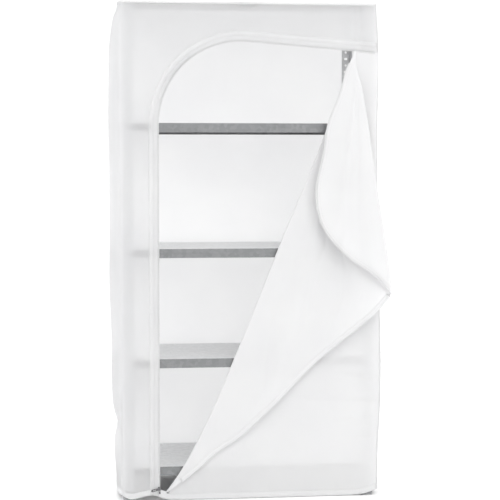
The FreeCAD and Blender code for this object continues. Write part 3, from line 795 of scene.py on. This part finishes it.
def make_bindings():
    low, high = HEM - 0.0012, HEM + HEM_BAND
    hem = ring_piece("binding_hem", (low + 0.004, low, low, low + 0.002, high - 0.002, high),
                     (-0.0012, -0.0010, 0.0006, 0.0012, 0.0013, 0.0007), TAPE_WHITE, THIN)
    finish_piece(hem, "cloth_cover", ["hem_binding"])
    low, high = TOP - ROOF_BAND, TOP
    roof = ring_piece("binding_roof", (low, low + 0.001, high - 0.002, high - 0.0006, high, high),
                      (0.0014, 0.0024, 0.0040, 0.0036, 0.0020, -0.0060), TAPE_WHITE, THIN)
    finish_piece(roof, "cloth_cover", ["roof_binding"])
    rows = (("stitch_hem", HEM + HEM_BAND - 0.003, 0.0016), ("stitch_roof", TOP - ROOF_BAND + 0.002, 0.0030))
    for name, z, out in rows:
        for side, outward in OUTWARD.items():
            s = np.linspace(0.004, width_of(side) - 0.004, 120)
            row = on_cover(side, s, np.full(len(s), z), out)
            stitches(f"{name}_{side}", row, "cloth_cover", outward, THREAD)


# ---- the zip on the cover -------------------------------------------------------------------------
def make_cover_zip():
    right = RIGHT - 0.012
    strip = along_opening((-TAPE, 0.0, 0.0016, 0.0030), (-0.0012, -0.0012, -0.0008, -0.0004), ZIP_FOOT, right)
    tape = cloth_from_grids("tape_cover", [strip], TAPE_WHITE, TAPE_THICK)
    finish_piece(tape, "cloth_cover", ["zip_tape_cover"])
    path = whole_opening_path(0.0022, ZIP_FOOT + 0.004, right)
    row = on_front(path[:, 0], path[:, 1], 0.0006)
    teeth = repeated("teeth_cover", tooth(TOOTH_REACH), row, FORWARD, TOOTH_PITCH, TEETH)
    finish_piece(teeth, "cloth_cover", ["zip_teeth_cover"])
    x = np.linspace(APEX.x - 0.004, right, 12)
    row = on_front(x, top_edge_z(x, 0.0058), 0.0006)
    closed = repeated("teeth_closed_end", tooth(TOOTH_REACH), row, FORWARD, TOOTH_PITCH, TEETH, start=0.5)
    finish_piece(closed, "cloth_cover")


# ---- the door -------------------------------------------------------------------------------------
def door_grids():
    """The door in one sheet: flat to the right of its main fold, round the fold, and back over itself."""
    below_tip = np.linspace(MAIN_FOOT.z + 0.001, TIP.z, 100)
    rows = np.concatenate([below_tip, np.linspace(TIP.z, APEX.z - 0.002, 110)[1:]])
    share = np.linspace(0, 1, 60)
    crest = main_fold_x(rows)
    ease = step(rows, MAIN_FOOT.z, MAIN_FOOT.z + 0.05) * step(APEX.z - rows, -0.002, 0.06)
    radius = MAIN_ROUND * (0.15 + 0.85 * ease)
    base = crest + radius
    drop = step(rows, APEX.z - 0.15, APEX.z)     # the top rows follow the opening's sloping top edge
    x = RIGHT + (base[:, None] - RIGHT) * share[None, :]
    z = rows[:, None] + drop[:, None] * (top_edge_z(x) - top_edge_z(APEX.x) + 0.002)
    flat_side = on_front(x, z)
    edge = flat_side[:, -1]
    turn = np.linspace(0, math.pi, 9)[None, :]
    wrap_x = base[:, None] - radius[:, None] * np.sin(turn)
    front_depth = leaf_depth(base, rows) - 2 * MAIN_ROUND + 2 * radius
    start_depth = FRONT - edge[:, 1]
    wrap_depth = start_depth[:, None] + (front_depth - start_depth)[:, None] * (1 - np.cos(turn)) / 2
    wrap = np.stack([wrap_x, FRONT - wrap_depth, edge[:, None, 2] + 0 * turn], axis=-1)
    right = np.where(rows < TIP.z, lower_edge_x(rows), corner_fold_x(rows) - corner_round(rows))
    right = np.maximum(right, base + 0.0005)
    leaf_x = base[:, None] + (right - base)[:, None] * np.linspace(0, 1, 56)[None, :]
    leaf = on_leaf(leaf_x, rows[:, None] + 0 * leaf_x)
    near = 1 - step(leaf_x - base[:, None], 0, 0.01)
    leaf[..., 1] = leaf[..., 1] * (1 - near) + (FRONT - front_depth)[:, None] * near
    leaf[:, 0] = wrap[:, -1]
    sill_z = np.linspace(HEM, MAIN_FOOT.z + 0.001, 6)
    sill_x = RIGHT + (base[0] - RIGHT) * share[None, :]
    sill = on_front(sill_x, sill_z[:, None] + 0 * sill_x)
    sill[-1] = flat_side[0]
    left_x = OPENING_EDGE + (base[0] - OPENING_EDGE) * np.linspace(0, 1, 8)[None, :]
    left_sill = on_front(left_x, sill_z[:, None] + 0 * left_x)
    left_sill[:, -1] = sill[:, -1]
    return [flat_side, wrap, leaf, sill, left_sill]


def make_door():
    door = cloth_from_grids("cloth_door", door_grids(), DOOR_WHITE_PAINTED_SHADE)
    finish_piece(door, None, ["door_fixed_panel", "door_fold"])
    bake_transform(door)


def corner_grids():
    rows = TIP.z + (APEX.z - 0.002 - TIP.z) * (0.5 - 0.5 * np.cos(np.linspace(0, math.pi, 130)))
    fold = corner_fold_x(rows)
    radius = corner_round(rows)
    base = fold - radius
    inner = leaf_depth(base, rows)
    outer = corner_depth(base, rows)
    turn = np.linspace(0, math.pi, 11)[None, :]
    depth = inner[:, None] + (outer - inner)[:, None] * (1 - np.cos(turn)) / 2
    wrap_x = base[:, None] + radius[:, None] * np.sin(turn)
    wrap = np.stack([wrap_x, FRONT - depth, rows[:, None] + 0 * turn], axis=-1)
    free = np.minimum(fold - np.maximum(corner_width(rows), 0.0015), base - 0.0005)
    share = np.linspace(0, 1, 44)[None, :]
    x = base[:, None] + (free - base)[:, None] * share
    layer = on_corner(x, rows[:, None] + 0 * x)
    layer[:, 0] = wrap[:, -1]
    return [wrap, layer]


def make_corner():
    corner = cloth_from_grids("cloth_door_corner", corner_grids(), DOOR_WHITE_PAINTED_SHADE)
    finish_piece(corner, None, ["door_corner"])
    anchor = APEX.copy()
    anchor.y = MAIN_FOOT.y
    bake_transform(corner)


def edge_strip(surface, line, inward, insets, out):
    """A strip along an edge of the door, whose (x, z) points are line. inward is +1 for its left side."""
    ahead = np.gradient(line, axis=0)
    ahead /= np.linalg.norm(ahead, axis=1, keepdims=True)
    aside = np.stack([-ahead[:, 1], ahead[:, 0]], axis=1) * inward
    columns = []
    for inset, away in zip(insets, out):
        at = line + aside * inset
        columns.append(surface(at[:, 0], at[:, 1], away))
    return np.stack(columns, axis=1)


def leaf_edge():
    z = np.linspace(MAIN_FOOT.z + 0.040, TIP.z - 0.006, 160)
    return spaced(np.stack([lower_edge_x(z), z], axis=1), 0.008)


def corner_edge():
    z = np.linspace(TIP.z + 0.022, APEX.z - 0.045, 200)
    return spaced(np.stack([corner_fold_x(z) - corner_width(z), z], axis=1), 0.008)


def make_door_zip():
    """Tape, teeth and stitches along the two free edges of the folded door."""
    insets = (-0.0030, -0.0004, 0.0126, TAPE)
    # part, surface, edge, side inward, body, tape before (1) or behind (-1) the cloth, stitches' height
    edges = (("door", on_leaf, leaf_edge(), 1, "door_leaf", 1, 0.0013),
             ("corner", on_corner, corner_edge(), -1, "door_tip", -1, 0.0007))
    for part, surface, line, inward, body, lie, stitch_out in edges:
        out = [lie * away for away in (0.0002, 0.0009, 0.0010, 0.0007)]
        strip = edge_strip(surface, line, inward, insets, out)
        tape = cloth_from_grids(f"tape_{part}", [strip], TAPE_WHITE, TAPE_THICK)
        finish_piece(tape, body, [f"zip_tape_{part}"])
        path = edge_strip(surface, line, inward, (-0.0030,), (0.0,))[:, 0]
        teeth = repeated(f"teeth_{part}", tooth(TOOTH_REACH), path, FORWARD, TOOTH_PITCH, TEETH)
        finish_piece(teeth, body, [f"zip_teeth_{part}"])
        for number, inset in enumerate((0.0030, 0.0110), start=1):
            row = edge_strip(surface, line, inward, (inset,), (stitch_out,))[:, 0]
            stitches(f"stitch_{part}_{number}", row, body, FORWARD, THREAD)


# ---- light, floor and camera ----------------------------------------------------------------------
SKY = 1.15                    # brightness all round
FLOOR = 60.0                  # half the floor's side
FADE_FROM = 0.9               # beyond this distance the floor's shade fades out ...
FADE_TO = 4.0                 # ... and is gone
# name, place, target, sides, watts
LIGHTS = (("key", (1.3, -3.6, 4.2), (0, 0, 0.9), (3.0, 3.0), 70),
          ("left", (-3.2, 0.9, 1.6), (-0.4, 0, 0.9), (2.2, 2.2), 34),
          ("behind", (0.6, 3.4, 2.2), (0, 0, 0.9), (2.5, 2.5), 18))
# the camera was fitted to the edges in the photo
LENS = 106.39
CAMERA_AT = (-0.6269, -5.4331, 1.2106)
CAMERA_TILT = math.radians(86.597)
CAMERA_TURN = math.radians(-6.623)


def aim(thing, target):
    thing.rotation_euler = (Vector(target) - thing.location).to_track_quat("-Z", "Y").to_euler()


def area_light(name, place, target, size, power):
    data = bpy.data.lights.new(name, "AREA")
    data.shape = "RECTANGLE"
    data.size, data.size_y = size
    data.energy = power
    light = bpy.data.objects.new(name, data)
    light.location = place
    bpy.context.scene.collection.objects.link(light)
    aim(light, target)


def make_stage():
    m = Nodes("floor")
    away = m.node("ShaderNodeVectorMath", {0: m.where}, operation="LENGTH").outputs["Value"]
    fade = m.node("ShaderNodeMapRange", {0: away, 1: FADE_FROM, 2: FADE_TO}, interpolation_type="SMOOTHSTEP")
    m.set(Base_Color=m.ramp(m.noise(2.0), 0.96, 0.98), Roughness=0.9)
    far = m.node("ShaderNodeEmission", {"Color": (1, 1, 1, 1), "Strength": SKY})
    m.mixed_with(far, fade.outputs["Result"])
    corners = [(-FLOOR, -FLOOR, 0), (FLOOR, -FLOOR, 0), (FLOOR, FLOOR, 0), (-FLOOR, FLOOR, 0)]
    floor = new_object("floor", corners, [(0, 1, 2, 3)], m.material)
    world = bpy.data.worlds.new("studio")
    world.use_nodes = True
    world.node_tree.nodes["Background"].inputs["Color"].default_value = (1, 1, 1, 1)
    world.node_tree.nodes["Background"].inputs["Strength"].default_value = SKY
    bpy.context.scene.world = world
    bpy.context.scene.view_settings.view_transform = "Standard"
    bpy.context.scene.cycles.max_bounces = 20         # white cloth all round: light bounces often inside
    bpy.context.scene.cycles.diffuse_bounces = 9
    for light in LIGHTS:
        area_light(*light)


def make_camera():
    data = bpy.data.cameras.new("camera")
    data.sensor_width = 36
    data.lens = LENS
    camera = bpy.data.objects.new("camera", data)
    camera.location = CAMERA_AT
    camera.rotation_euler = (CAMERA_TILT, 0, CAMERA_TURN)
    bpy.context.scene.collection.objects.link(camera)
    bpy.context.scene.camera = camera


make_camera()
make_stage()
dress_cad()
make_walls()
make_roof()
make_front()
make_bindings()
make_cover_zip()
make_door()
make_corner()
make_door_zip()
